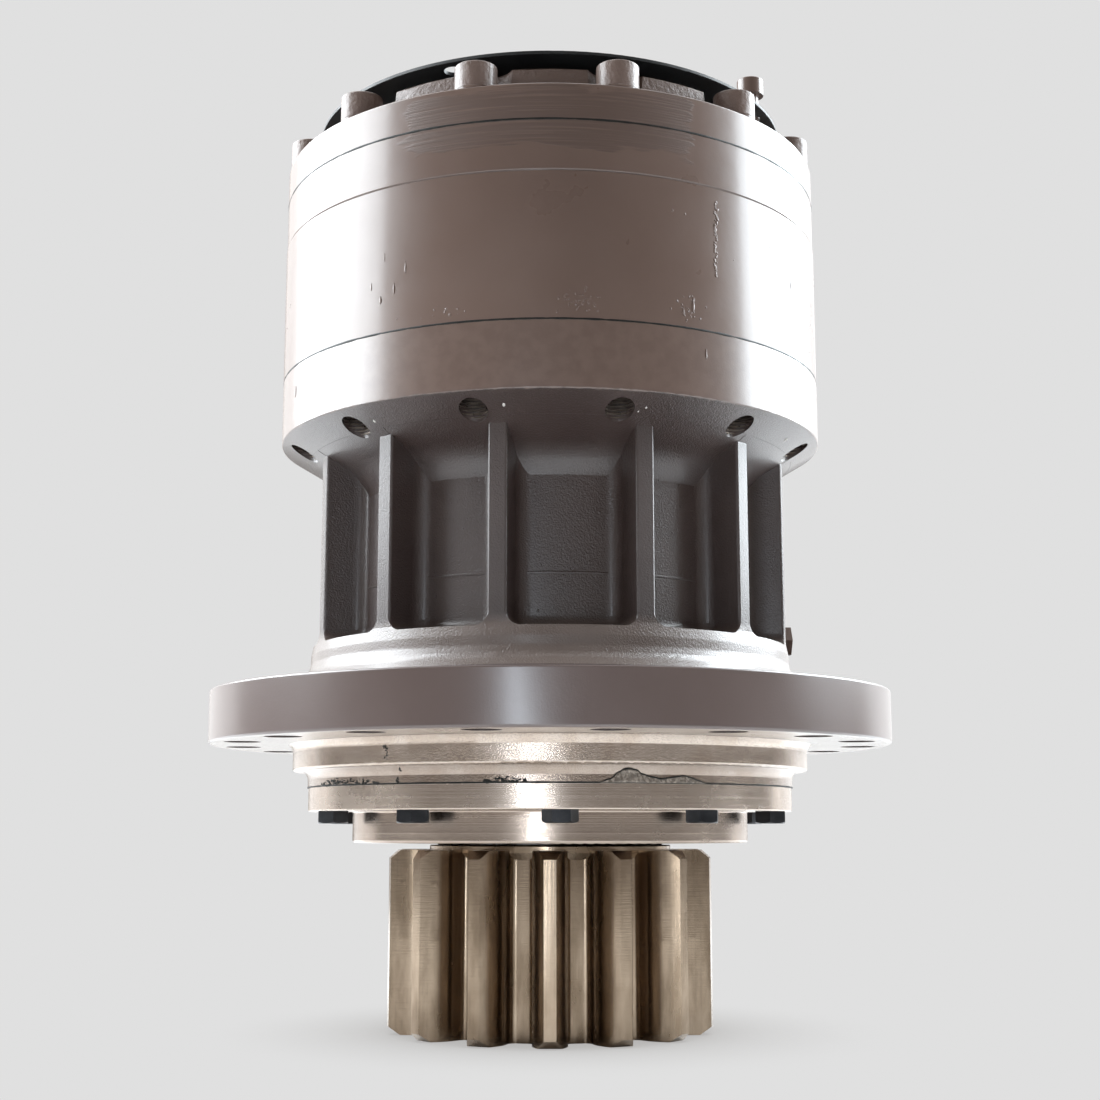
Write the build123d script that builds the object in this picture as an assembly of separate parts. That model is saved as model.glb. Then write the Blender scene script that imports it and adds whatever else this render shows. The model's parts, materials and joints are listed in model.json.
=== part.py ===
from build123d import *
import os
from math import acos, asin, cos, pi, radians, sin, sqrt, tan

os.makedirs("parts", exist_ok=True)

# Swing reduction gearbox: flanged upright housing, two planetary stages in one
# ring gear, and an output pinion shaft below. Millimetres, +Z up. The origin is
# the centre of the mounting flange's underside. Angles phi are measured from
# the front (-Y) towards +X.

# ---- driving dimensions -------------------------------------------------
# mounting flange
FL_R, FL_T = 203.5, 30.9
FL_HOLES, FL_PCD, FL_HOLE_R, FL_PHI = 18, 372.0, 10.5, -10.6
# casing below and above the flange
SPIGOT_R, SPIGOT_LO = 154.0, -15.6
FOOT_R, Z_SEAM3 = 145.0, -25.0
BAND_R, SHOULDER_Z = 144.5, 58.0
BARREL_R, RIB_R, RIB_T = 119.0, 143.0, 10.8
# ribs lie RIB_OFF either side of four axes, and halfway between the axes
AXIS_PHI, RIB_OFF = 4.9, 16.4
DRUM_R, Z_DRUM0, Z_SEAM2 = 165.0, 181.0, 219.0
# ring gear and top cover
Z_STEP, Z_SEAM1, Z_COVER = 302.5, 331.5, 352.4
RISE_R, Z_RISE, BOSS_R, Z_BOSS = 142.5, 370.8, 118.0, 378.0
SCREWS, SCREW_PCD, SCREW_PHI = 12, 304.0, 14.3
# motor interface
PILOT_R, PILOT_L = 75.0, 12.0
MOTOR_PCD, MOTOR_HOLES, MOTOR_HOLE_R, MOTOR_PHI = 200.0, 4, 7.0, 21.0
# transport cover
TC_R, TC_T, TC_PCD, TC_PHI, TC_HOLE_R = 145.0, 2.0, 268.0, -24.0, 6.0
# seal cover
SC_R, Z_SC, NOSE_R, Z_NOSE = 144.4, -39.0, 118.0, -57.0
SC_BOLTS, SC_PCD, SC_PHI = 10, 266.0, 2.3
# output pinion
PIN_Z, PIN_M, PIN_TIP, PIN_ROOT = 14, 12.0, 96.4, 69.0
Z_PIN_TOP, Z_PIN_BOT = -61.0, -166.0
COLLAR_R, Z_COLLAR = 72.0, -58.4
# planetary stages
M, Z_RING = 4.0, 63
Z_SUN2, Z_PL2 = 15, 24
Z_SUN1, Z_PL1 = 21, 21
C2, C1 = M * (Z_SUN2 + Z_PL2) / 2, M * (Z_SUN1 + Z_PL1) / 2
RING_TIP, RING_ROOT = 122.0, 131.2
THIN = 0.25  # tooth thinning at the pitch circle, for backlash
TH2, TH1 = 30.0, 75.0  # direction of the first planet of each stage, from +X
PRESSURE = radians(20)


# ---- helpers ------------------------------------------------------------
def pos(r, phi):
    """A point at radius r, phi degrees from the front towards +X."""
    a = radians(phi)
    return r * sin(a), -r * cos(a)


def outline(pts, xz=True):
    """A closed face through pts, each (x, y) or (x, y, corner radius)."""
    put = (lambda x, y: Vector(x, 0, y)) if xz else (lambda x, y: Vector(x, y, 0))
    n, ends = len(pts), []
    for i in range(n):
        p, a, b = pts[i], pts[i - 1], pts[(i + 1) % n]
        if len(p) == 2 or p[2] <= 0:
            ends.append((p[:2], None, p[:2]))
            continue
        ux, uy = a[0] - p[0], a[1] - p[1]
        vx, vy = b[0] - p[0], b[1] - p[1]
        lu, lv = sqrt(ux * ux + uy * uy), sqrt(vx * vx + vy * vy)
        ux, uy, vx, vy = ux / lu, uy / lu, vx / lv, vy / lv
        half = acos(max(-1, min(1, ux * vx + uy * vy))) / 2
        t = p[2] / tan(half)
        wx, wy = ux + vx, uy + vy
        w = sqrt(wx * wx + wy * wy)
        wx, wy = wx / w, wy / w
        d = p[2] / sin(half)
        mid = (p[0] + wx * (d - p[2]), p[1] + wy * (d - p[2]))
        ends.append(((p[0] + ux * t, p[1] + uy * t), mid, (p[0] + vx * t, p[1] + vy * t)))
    edges = []
    for i in range(n):
        s, mid, e = ends[i]
        if mid is not None:
            edges.append(Edge.make_three_point_arc(put(*s), put(*mid), put(*e)))
        q = ends[(i + 1) % n][0]
        if sqrt((q[0] - e[0]) ** 2 + (q[1] - e[1]) ** 2) > 1e-6:
            edges.append(Edge.make_line(put(*e), put(*q)))
    return Face(Wire(edges))


def rev(pts):
    """A body of revolution about Z from an (r, z) outline."""
    return revolve(outline(pts), Axis.Z)


def prism(pts, z0, z1):
    """A polygon in plan, from z0 to z1."""
    f = Face(Wire.make_polygon([Vector(x, y, z0) for x, y in pts], close=True))
    return extrude(f, z1 - z0, dir=(0, 0, 1))


def cyl(r, z0, z1, x=0.0, y=0.0):
    return Pos(x, y, (z0 + z1) / 2) * Cylinder(r, z1 - z0)


def cone(r0, r1, z0, z1, x=0.0, y=0.0):
    return Pos(x, y, (z0 + z1) / 2) * Cone(r0, r1, z1 - z0)


def tube(ri, ro, z0, z1, x=0.0, y=0.0):
    return cyl(ro, z0, z1, x, y) - cyl(ri, z0 - 1, z1 + 1, x, y)


def hexa(af, z0, z1, x=0.0, y=0.0, turn=0.0):
    r = af / 2 / cos(radians(30))
    return prism(
        [
            (x + r * cos(radians(turn + 60 * k)), y + r * sin(radians(turn + 60 * k)))
            for k in range(6)
        ],
        z0,
        z1,
    )


def ring_torus(R, r, z):
    return Pos(0, 0, z) * Torus(R, r)


def radial(r, r0, r1, phi, z):
    """A rod along a radius, from r0 to r1."""
    x, y = pos(1, phi)
    return Plane(origin=(x * r0, y * r0, z), z_dir=(x, y, 0)) * (
        Pos(0, 0, (r1 - r0) / 2) * Cylinder(r, r1 - r0)
    )


def radial_hex(af, r0, r1, phi, z):
    x, y = pos(1, phi)
    return Plane(origin=(x * r0, y * r0, z), z_dir=(x, y, 0)) * hexa(af, 0, r1 - r0)


def save(shape, node):
    solids = shape.solids()
    out = solids[0] if len(solids) == 1 else Compound(children=list(solids))
    export_step(out, "parts/" + node + ".step")


def group(solids):
    return Compound(children=[s for x in solids for s in x.solids()])


def involute(a):
    return tan(a) - a


def half_angle(r, m, z, pitch_half):
    """Half the angle that a tooth (or an internal gear's space) takes up at radius r."""
    rp = m * z / 2
    rb = rp * cos(PRESSURE)
    r = max(r, rb)
    return pitch_half + involute(PRESSURE) - involute(acos(rb / r))


def tooth_polygon(m, z, r_in, r_out, phase, thick, n=4):
    """Plan outline of teeth (or of an internal gear's spaces) from r_in to r_out,
    one centred at phase (radians, from +X). thick is added at the pitch circle."""
    rp = m * z / 2
    rb = rp * cos(PRESSURE)
    hp = pi / (2 * z) + thick / (2 * rp)
    r_low = max(r_in, rb)
    radii = [r_low + (r_out - r_low) * (i / (n - 1)) ** 0.8 for i in range(n)]
    if r_in < r_low - 1e-6:
        radii = [r_in] + radii
    pts = []
    for k in range(z):
        c = phase + 2 * pi * k / z
        for r in radii:
            a = c - half_angle(r, m, z, hp)
            pts.append((r * cos(a), r * sin(a)))
        for r in reversed(radii):
            a = c + half_angle(r, m, z, hp)
            pts.append((r * cos(a), r * sin(a)))
    return pts


def spline_polygon(n, r_in, r_out, share, grow=0.0):
    """Straight-sided spline outline."""
    pts = []
    for k in range(n):
        c = 2 * pi * k / n
        for r, s in ((r_in, 1.12), (r_out, 0.88)):
            a = pi / n * share * s + grow / r
            pts.append(((r + grow) * cos(c - a), (r + grow) * sin(c - a)))
        for r, s in ((r_out, 0.88), (r_in, 1.12)):
            a = pi / n * share * s + grow / r
            pts.append(((r + grow) * cos(c + a), (r + grow) * sin(c + a)))
    return pts


def phases(th0, z_sun, z_pl):
    """Rest phases in mesh with a ring gear that has a space centred on +X:
    the sun's, and each planet's (radians)."""
    out = []
    for k in range(3):
        th = radians(th0 + 120 * k)
        out.append(th + (Z_RING / z_pl) * (0 - th))
    th = radians(th0)
    sun = th - (z_pl / z_sun) * (out[0] - th - pi + pi / z_pl)
    return sun, out


# ---- casing -------------------------------------------------------------
def make_casing():
    # turned so that the closing line of the round faces runs along a rib
    body = Rot(0, 0, AXIS_PHI - RIB_OFF) * rev(
        [
            (107.5, Z_SEAM3),
            (FOOT_R, Z_SEAM3, 0.5),
            (FOOT_R, -17.9, 6.0),
            (147.8, SPIGOT_LO),
            (SPIGOT_R, SPIGOT_LO, 1.5),
            (SPIGOT_R, -2.0, 6.0),
            (156.6, 0.0),
            (FL_R, 0.0, 1.7),
            (FL_R, FL_T, 1.2),
            (157.5, FL_T, 8.5),
            (146.6, 41.5, 9.0),
            (144.7, 47.0, 5.0),
            (BAND_R, 52.5, 4.0),
            (RIB_R, 60.0),
            (RIB_R, 167.9),
            (DRUM_R, 181.2, 0.8),
            (DRUM_R, Z_SEAM2, 0.5),
            (128.0, Z_SEAM2),
            (128.0, 186.0, 4.0),
            (97.0, 184.0, 2.0),
            (97.0, 160.0),
            (93.0, 160.0),
            (93.0, 156.0),
            (90.0, 156.0),
            (90.0, 110.0),
            (84.0, 110.0, 1.0),
            (84.0, 98.0, 3.0),
            (104.0, 90.0, 6.0),
            (104.0, 54.0, 6.0),
            (98.0, 46.0, 2.0),
            (98.0, 36.0),
            (107.5, 36.0),
        ]
    )
    # the pockets between the ribs: four wide ones, on the axes, and eight others
    wide, other = make_pocket(RIB_OFF), make_pocket((45 - RIB_OFF) / 2)
    cut = []
    for k in range(4):
        a = AXIS_PHI + 90 * k - 90
        b = (45 + RIB_OFF) / 2
        cut += [Rot(0, 0, a) * wide, Rot(0, 0, a + b) * other, Rot(0, 0, a - b) * other]
    body = body - cut
    # drain boss in the right-hand pocket
    body = body + radial(13.5, 112.0, 141.2, DRAIN_PHI, DRAIN_Z)
    # its hole, and a spot face for the washer that just bites into the shoulder
    cuts = [
        radial(9.02, 100.0, 150.0, DRAIN_PHI, DRAIN_Z),
        radial(11.6, 141.2, 152.0, DRAIN_PHI, DRAIN_Z),
    ]
    for k in range(FL_HOLES):
        x, y = pos(FL_PCD / 2, FL_PHI + 360 / FL_HOLES * k)
        cuts.append(cyl(FL_HOLE_R, -1, FL_T + 1, x, y))
    # long screws' holes, which break through the cove
    for k in range(SCREWS):
        x, y = pos(SCREW_PCD / 2, SCREW_PHI + 30 * k)
        cuts.append(cyl(8.0, 165, Z_SEAM2 + 1, x, y))
    for k in range(SC_BOLTS):
        x, y = pos(SC_PCD / 2, SC_PHI + 36 * k)
        cuts.append(cyl(4.3, Z_SEAM3 - 1, -1.0, x, y))
    for k in range(2):
        x, y = pos(SCREW_PCD / 2, DOWEL_PHI + 180 * k)
        cuts.append(cyl(6.0, 209, Z_SEAM2 + 1, x, y))
    cuts.append(tube(134.6, 137.6, Z_SEAM2 - 2.6, Z_SEAM2 + 1))
    return body - cuts


def make_pocket(half_deg):
    """The space between two ribs, centred on +X, from the shoulder up into the cove."""
    half = radians(half_deg)
    w = RIB_T / 2
    e = 1.6  # rounding of a rib's outer edges

    def side(r, off):
        """On the rib side's line, off from the rib's centre plane, at radius r."""
        return asin(off / r)

    def at(r, ang):
        return (r * cos(ang), r * sin(ang))

    draft = 0.9  # a rib is a little thicker at its root
    # a rib's outer edge: rounded by a 60 degree arc, then a short flat that
    # runs out through the rib's outer face
    c60, s60 = cos(radians(60)), sin(radians(60))
    r_c, o_c = RIB_R - e, w - e
    p_in = at(BARREL_R, half - side(BARREL_R, w + draft))
    p_lo = at(r_c, half - side(r_c, w))
    r_m, o_m = r_c + e * 0.5, o_c + e * s60
    p_mid = at(r_m, half - side(r_m, o_m))
    r_e, o_e = r_c + e * s60, o_c + e * c60
    p_end = at(r_e, half - side(r_e, o_e))
    r_f, o_f = r_e + 1.2 * c60, o_e - 1.2 * s60
    p_far = at(r_f, half - side(r_f, o_f))
    p_out = at(170.0, half - side(170.0, o_f))

    def up(p, s=1):
        return Vector(p[0], s * p[1], SHOULDER_Z)

    edges = [
        Edge.make_three_point_arc(up(p_in, -1), Vector(BARREL_R, 0, SHOULDER_Z), up(p_in)),
        Edge.make_line(up(p_in), up(p_lo)),
        Edge.make_three_point_arc(up(p_lo), up(p_mid), up(p_end)),
        Edge.make_line(up(p_end), up(p_far)),
        Edge.make_line(up(p_far), up(p_out)),
        Edge.make_line(up(p_out), up(p_out, -1)),
        Edge.make_line(up(p_out, -1), up(p_far, -1)),
        Edge.make_line(up(p_far, -1), up(p_end, -1)),
        Edge.make_three_point_arc(up(p_end, -1), up(p_mid, -1), up(p_lo, -1)),
        Edge.make_line(up(p_lo, -1), up(p_in, -1)),
    ]
    pocket = extrude(Face(Wire(edges)), 140, dir=(0, 0, 1))
    uprights = [
        x
        for x in pocket.edges().filter_by(Axis.Z)
        if abs(sqrt(x.center().X ** 2 + x.center().Y ** 2) - BARREL_R) < 0.5
    ]
    pocket = fillet(uprights, 8.5)
    floor = [
        x
        for x in pocket.edges()
        if abs(x.bounding_box().max.Z - SHOULDER_Z) < 0.01
        and x.bounding_box().max.X < RIB_R - 0.2
    ]
    pocket = fillet(floor, 7.5)
    cove = Rot(0, 0, 180) * rev(
        [
            (105.0, 40.0),
            (200.0, 40.0),
            (200.0, 173.0),
            (160.0, 171.8),
            (148.0, 171.1),
            (121.0, 154.9, 28.0),
            (114.2, 118.0),
            (105.0, 118.0),
        ]
    )
    return pocket & cove


DRAIN_PHI, DRAIN_Z, DOWEL_PHI = 94.9, 65.3, -0.7

casing = make_casing()
save(casing, "casing")

# ---- ring gear ----------------------------------------------------------
ring = rev(
    [
        (115.0, Z_SEAM2),
        (DRUM_R, Z_SEAM2, 0.5),
        (DRUM_R, Z_STEP - 0.7),
        (DRUM_R - 1.0, Z_STEP - 0.2),
        (DRUM_R - 0.45, Z_STEP + 0.7),
        (DRUM_R - 0.45, Z_SEAM1, 0.5),
        (115.0, Z_SEAM1),
    ]
)
cuts = [
    prism(
        tooth_polygon(M, Z_RING, RING_TIP, RING_ROOT, 0.0, THIN), Z_SEAM2 - 1, Z_SEAM1 + 1
    )
]
for k in range(SCREWS):
    x, y = pos(SCREW_PCD / 2, SCREW_PHI + 30 * k)
    cuts.append(cyl(8.6, Z_SEAM2 - 1, Z_SEAM1 + 1, x, y))
for k in range(2):
    x, y = pos(SCREW_PCD / 2, DOWEL_PHI + 180 * k)
    cuts.append(cyl(6.0, Z_SEAM2 - 1, Z_SEAM2 + 10, x, y))
    cuts.append(cyl(6.0, Z_SEAM1 - 10, Z_SEAM1 + 1, x, y))
ring = ring - cuts
save(ring, "ring_gear")

# ---- top cover ----------------------------------------------------------
cover = rev(
    [
        (60.0, 338.0, 2.0),
        (128.0, 338.0, 2.0),
        (128.0, Z_SEAM1),
        (DRUM_R - 0.45, Z_SEAM1, 0.5),
        (DRUM_R - 0.45, Z_COVER, 1.2),
        (RISE_R, Z_COVER, 2.0),
        (RISE_R, Z_RISE, 1.2),
        (BOSS_R, Z_RISE, 2.0),
        (BOSS_R, Z_BOSS, 1.0),
        (PILOT_R + 1.0, Z_BOSS),
        (PILOT_R, Z_BOSS - 1.0),
        (PILOT_R, Z_BOSS - 1.0 - PILOT_L),
        (60.0, Z_BOSS - 1.0 - PILOT_L, 1.0),
    ]
)
cuts = []
for k in range(SCREWS):
    x, y = pos(SCREW_PCD / 2, SCREW_PHI + 30 * k)
    # the raised ring is cut back round each screw head, with sloping ends
    u, v = pos(SCREW_PCD / 2, SCREW_PHI + 0.7 + 30 * k)
    cuts.append(cone(17.6, 19.6, Z_COVER, Z_RISE + 0.6, u, v))
    cuts.append(cyl(8.6, Z_SEAM1 - 1, Z_COVER + 1, x, y))
for k in range(2):
    x, y = pos(SCREW_PCD / 2, DOWEL_PHI + 180 * k)
    cuts.append(cyl(6.0, Z_SEAM1 - 1, Z_SEAM1 + 10, x, y))
for k in range(MOTOR_HOLES):
    x, y = pos(MOTOR_PCD / 2, MOTOR_PHI + 90 * k)
    cuts.append(cyl(MOTOR_HOLE_R, Z_BOSS - 30, Z_BOSS + 1, x, y))
for k in range(4):
    x, y = pos(TC_PCD / 2, TC_PHI + 90 * k)
    cuts.append(cyl(5.0, Z_RISE - 22, Z_RISE + 1, x, y))
FILL_PHI = 180.0
fx, fy = pos(130.6, FILL_PHI)
cuts.append(cyl(9.52, 330, Z_RISE + 1, fx, fy))
cuts.append(tube(134.6, 137.6, Z_SEAM1 - 1, Z_SEAM1 + 2.6))
cover = cover - cuts
save(cover, "top_cover")

fill = cyl(9.5, 346, Z_RISE - 0.4, fx, fy) - hexa(8, 360, Z_RISE, fx, fy)
save(fill, "fill_plug")

# ---- long socket screws -------------------------------------------------
screws = []
for k in range(SCREWS):
    x, y = pos(SCREW_PCD / 2, SCREW_PHI + 30 * k)
    s = rev([(0, 0), (12.0, 0.0), (12.0, 16.0, 1.0), (0, 16.0)])
    s = Pos(0, 0, Z_COVER) * s
    s = s + cyl(8.0, 230, Z_COVER, 0, 0)
    s = s + cyl(7.9, 188, 230, 0, 0)
    s = s - hexa(14, Z_COVER + 8, Z_COVER + 17, 0, 0, 17.0 * k)
    screws.append(Pos(x, y, 0) * s)
save(group(screws), "drum_screws")

dowels = []
for k in range(2):
    x, y = pos(SCREW_PCD / 2, DOWEL_PHI + 180 * k)
    dowels += [cyl(5.98, 210, 228, x, y), cyl(5.98, 322.5, 340.5, x, y)]
save(group(dowels), "dowel_pins")

save(ring_torus(136.1, 1.25, Z_SEAM2 - 1.27), "lower_seam_oring")
save(ring_torus(136.1, 1.25, Z_SEAM1 + 1.27), "upper_seam_oring")

# ---- drain plug ---------------------------------------------------------
plug = radial(8.98, 108.0, 142.8, DRAIN_PHI, DRAIN_Z)
plug = plug + radial_hex(17.0, 144.4, 148.8, DRAIN_PHI, DRAIN_Z)
plug = plug + radial(10.6, 142.8, 144.4, DRAIN_PHI, DRAIN_Z)
save(plug, "drain_plug")
save(
    radial(10.6, 141.25, 142.75, DRAIN_PHI, DRAIN_Z)
    - radial(9.02, 138.0, 150.0, DRAIN_PHI, DRAIN_Z),
    "drain_plug_washer",
)

# ---- seal cover ---------------------------------------------------------
seal_cover = rev(
    [
        (80.0, -22.2),
        (107.4, -22.2),
        (107.4, Z_SEAM3),
        (SC_R, Z_SEAM3, 0.4),
        (SC_R, Z_SC, 0.8),
        (NOSE_R, Z_SC, 1.2),
        (NOSE_R, Z_NOSE, 1.6),
        (74.0, Z_NOSE, 1.0),
        (74.0, -53.0),
        (85.0, -53.0),
        (85.0, -38.0),
        (80.0, -38.0),
    ]
)
cuts = [tube(116.4, 119.6, Z_SEAM3 - 2.8, Z_SEAM3 + 1)]
for k in range(SC_BOLTS):
    x, y = pos(SC_PCD / 2, SC_PHI + 36 * k)
    cuts.append(cyl(5.5, Z_SC - 1, Z_SEAM3 + 1, x, y))
seal_cover = seal_cover - cuts
save(seal_cover, "seal_cover")
save(ring_torus(118.0, 1.3, Z_SEAM3 - 1.32), "seal_cover_oring")

TURNS = (4, 22, 23, 37, 0, 15, 48, 28, 37, 31)
bolts = []
for k in range(SC_BOLTS):
    x, y = pos(SC_PCD / 2, SC_PHI + 36 * k)
    b = hexa(17.0, Z_SC - 7.0, Z_SC, 0, 0, TURNS[k])
    b = b & rev([(0, Z_SC - 7.0), (8.0, Z_SC - 7.0), (10.2, Z_SC - 5.8), (10.2, Z_SC), (0, Z_SC)])
    b = b + cyl(4.25, Z_SC, -4.0, 0, 0)
    b = b + cyl(5.0, Z_SC, -27.0, 0, 0)
    bolts.append(Pos(x, y, 0) * b)
save(group(bolts), "seal_cover_bolts")

# lip seal: steel-backed rubber ring with its lip on the sleeve
lip = rev(
    [
        (84.98, -52.9),
        (84.98, -38.1),
        (81.0, -38.1),
        (81.0, -48.6, 1.0),
        (73.0, -48.6),
        (72.6, -41.4),
        (70.2, -41.4),
        (67.58, -45.2),
        (69.8, -50.6),
        (70.6, -52.9),
    ]
)
save(lip, "output_lip_seal")
save(ring_torus(73.9, 0.85, -43.6), "seal_garter_spring")

# ---- output shaft -------------------------------------------------------
def pinion_face():
    """Plan face of the output pinion: involute flanks, filleted roots."""
    rp = PIN_M * PIN_Z / 2
    rb = rp * cos(PRESSURE)
    hp = pi / (2 * PIN_Z) - 0.15 / rp
    start = radians(-90)
    edges, first, last = [], None, None
    step = 2 * pi / PIN_Z
    fr = 4.2  # root fillet radius

    def P(r, a):
        return Vector(r * cos(a), r * sin(a), 0)

    radii = [rb + (PIN_TIP - rb) * t for t in (0, 0.03, 0.12, 0.3, 0.55, 0.8, 1.0)]
    hb = half_angle(rb, PIN_M, PIN_Z, hp)
    # the fillet meets the radial flank at r_t and the root circle at angle a_t
    c_r = PIN_ROOT + fr
    off = asin(fr / c_r)
    r_t = c_r * cos(off)
    for k in range(PIN_Z):
        c = start + step * k
        low_l, low_r = c - hb, c + hb
        pts_l = [P(r, c - half_angle(r, PIN_M, PIN_Z, hp)) for r in radii]
        pts_r = [P(r, c + half_angle(r, PIN_M, PIN_Z, hp)) for r in reversed(radii)]
        a_l = low_l - off  # fillet centre on the left side
        a_r = low_r + off
        fil_l = [P(PIN_ROOT, a_l), None, P(r_t, low_l)]
        fil_r = [P(r_t, low_r), None, P(PIN_ROOT, a_r)]

        def mid(ca, s, e):
            cx, cy = c_r * cos(ca), c_r * sin(ca)
            mx, my = (s.X + e.X) / 2 - cx, (s.Y + e.Y) / 2 - cy
            q = fr / sqrt(mx * mx + my * my)
            return Vector(cx + mx * q, cy + my * q, 0)

        m_l, m_r = mid(a_l, fil_l[0], fil_l[2]), mid(a_r, fil_r[0], fil_r[2])
        if last is not None:
            a0 = last_angle
            am = (a0 + a_l) / 2
            edges.append(Edge.make_three_point_arc(last, P(PIN_ROOT, am), fil_l[0]))
        else:
            first, first_angle = fil_l[0], a_l
        edges.append(Edge.make_three_point_arc(fil_l[0], m_l, fil_l[2]))
        edges.append(Edge.make_line(fil_l[2], pts_l[0]))
        edges.append(Edge.make_spline(pts_l))
        edges.append(Edge.make_three_point_arc(pts_l[-1], P(PIN_TIP, c), pts_r[0]))
        edges.append(Edge.make_spline(pts_r))
        edges.append(Edge.make_line(pts_r[-1], fil_r[0]))
        edges.append(Edge.make_three_point_arc(fil_r[0], m_r, fil_r[2]))
        last, last_angle = fil_r[2], a_r
    am = (last_angle + first_angle + 2 * pi) / 2
    edges.append(Edge.make_three_point_arc(last, P(PIN_ROOT, am), first))
    return Face(Wire(edges))


teeth = extrude(pinion_face(), Z_PIN_TOP - Z_PIN_BOT, dir=(0, 0, 1))
teeth = Pos(0, 0, Z_PIN_BOT) * teeth
turned = rev(
    [
        (0, Z_PIN_BOT),
        (90.4, Z_PIN_BOT),
        (PIN_TIP + 0.1, Z_PIN_BOT + 4.4),
        (PIN_TIP + 0.1, Z_PIN_TOP - 4.8),
        (90.9, Z_PIN_TOP),
        (0, Z_PIN_TOP),
    ]
)
teeth = teeth & turned
shaft = rev(
    [
        (0, Z_PIN_BOT + 1),
        (60.0, Z_PIN_BOT + 1),
        (60.0, Z_PIN_TOP - 17.0),
        (COLLAR_R, Z_PIN_TOP - 1.5),
        (COLLAR_R, Z_COLLAR, 0.6),
        (59.98, Z_COLLAR),
        (59.98, 36.0, 0.5),
        (49.98, 36.0),
        (49.98, 172.4, 1.0),
        (37.5, 172.4),
        (37.5, 203.0),
        (0, 203.0),
    ]
)
spl = prism(spline_polygon(20, 38.0, 42.0, 0.5), 172.0, 203.0)
shaft = shaft + spl
pinion = teeth + shaft
# centre drilling and two lifting holes in the pinion's end
pinion = pinion - cone(7.5, 0.3, Z_PIN_BOT - 0.01, Z_PIN_BOT + 12)
for k in range(2):
    pinion = pinion - cyl(7.0, Z_PIN_BOT - 1, Z_PIN_BOT + 26, 38 * (-1) ** k, 0)
for k in range(4):
    a = radians(45 + 90 * k)
    pinion = pinion - cyl(6.02, 178, 204, 24 * cos(a), 24 * sin(a))
save(pinion, "pinion_shaft")

save(
    rev([(60.0, Z_COLLAR + 0.1), (67.5, Z_COLLAR + 0.1, 1.0), (67.5, -22.0), (60.0, -22.0)]),
    "seal_sleeve",
)
save(
    rev([(50.0, 36.0), (70.0, 36.0), (62.0, 48.0), (62.0, 110.0), (50.0, 110.0)]),
    "bearing_spacer",
)
save(
    rev([(60.0, -22.0, 1), (79.0, -22.0), (79.0, -16.0), (76.0, -16.0), (76.0, 30.0), (79.0, 30.0), (79.0, 36.0), (60.0, 36.0)]),
    "lower_bearing_inner_race",
)
save(
    rev([(92.0, -22.0), (107.48, -22.0, 1.5), (107.48, 36.0, 1.5), (92.0, 36.0)]),
    "lower_bearing_outer_race",
)
save(
    rev([(50.0, 110.0), (65.5, 110.0), (65.5, 114.0), (63.0, 114.0), (63.0, 152.0), (65.5, 152.0), (65.5, 156.0), (50.0, 156.0)]),
    "upper_bearing_inner_race",
)
save(
    rev([(77.0, 110.0), (89.98, 110.0, 1.5), (89.98, 156.0, 1.5), (77.0, 156.0)]),
    "upper_bearing_outer_race",
)


def rollers(n, R, r, z0, z1, name):
    rs, cage = [], None
    cage = tube(R - r * 0.42, R + r * 0.42, z0 - 1.0, z1 + 1.0)
    for k in range(n):
        a = 2 * pi * k / n
        x, y = R * cos(a), R * sin(a)
        one = rev([(0, z0), (r, z0, 0.6), (r, z1, 0.6), (0, z1)])
        rs.append(Pos(x, y, 0) * one)
        cage = cage - cyl(r + 0.25, z0 - 0.3, z1 + 0.3, x, y)
    save(group(rs), name + "_rollers")
    save(cage, name + "_cage")


rollers(20, 84.0, 7.8, -14.0, 28.0, "lower_bearing")
rollers(20, 70.0, 6.8, 116.0, 150.0, "upper_bearing")

circ = tube(86.5, 92.9, 156.2, 159.6) - Pos(0, -90, 158) * Box(16, 16, 10)
save(circ, "bearing_circlip")
save(tube(50.0, 60.0, 156.0, 158.0) - Pos(0, 60, 157) * Box(6, 8, 4), "lock_washer")
nut = tube(50.0, 62.0, 158.0, 171.5)
for k in range(4):
    a = radians(45 + 90 * k)
    nut = nut - Pos(62 * cos(a), 62 * sin(a), 166) * Rot(0, 0, 45 + 90 * k) * Box(9, 10, 14)
save(nut, "bearing_locknut")

# ---- second stage carrier, in the pinion shaft's body -------------------
PIN2_R, PIN1_R = 18.0, 14.0
carrier2 = rev(
    [
        (36.0, 174.0),
        (60.0, 174.0, 1.0),
        (66.0, 190.0, 4.0),
        (116.0, 190.0, 2.0),
        (116.0, 212.0, 2.0),
        (46.0, 212.0),
        (46.0, 203.2),
        (36.0, 203.2),
    ]
)
carrier2 = carrier2 + tube(50.0, 114.0, 274.0, 284.0)
for k in range(3):
    a = radians(TH2 + 60 + 120 * k)
    carrier2 = carrier2 + cyl(19.0, 211.0, 275.0, 92 * cos(a), 92 * sin(a))
carrier2 = carrier2 - prism(spline_polygon(20, 38.0, 42.0, 0.5, 0.06), 170, 204)
for k in range(3):
    a = radians(TH2 + 120 * k)
    carrier2 = carrier2 - cyl(PIN2_R + 0.02, 196.0, 290.0, C2 * cos(a), C2 * sin(a))
    carrier2 = carrier2 - Rot(0, 0, TH2 + 120 * k) * (
        Pos(97.0, 0, 279) * Rot(0, 90, 0) * Cylinder(3.02, 40)
    )
save(carrier2, "carrier_2")

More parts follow.
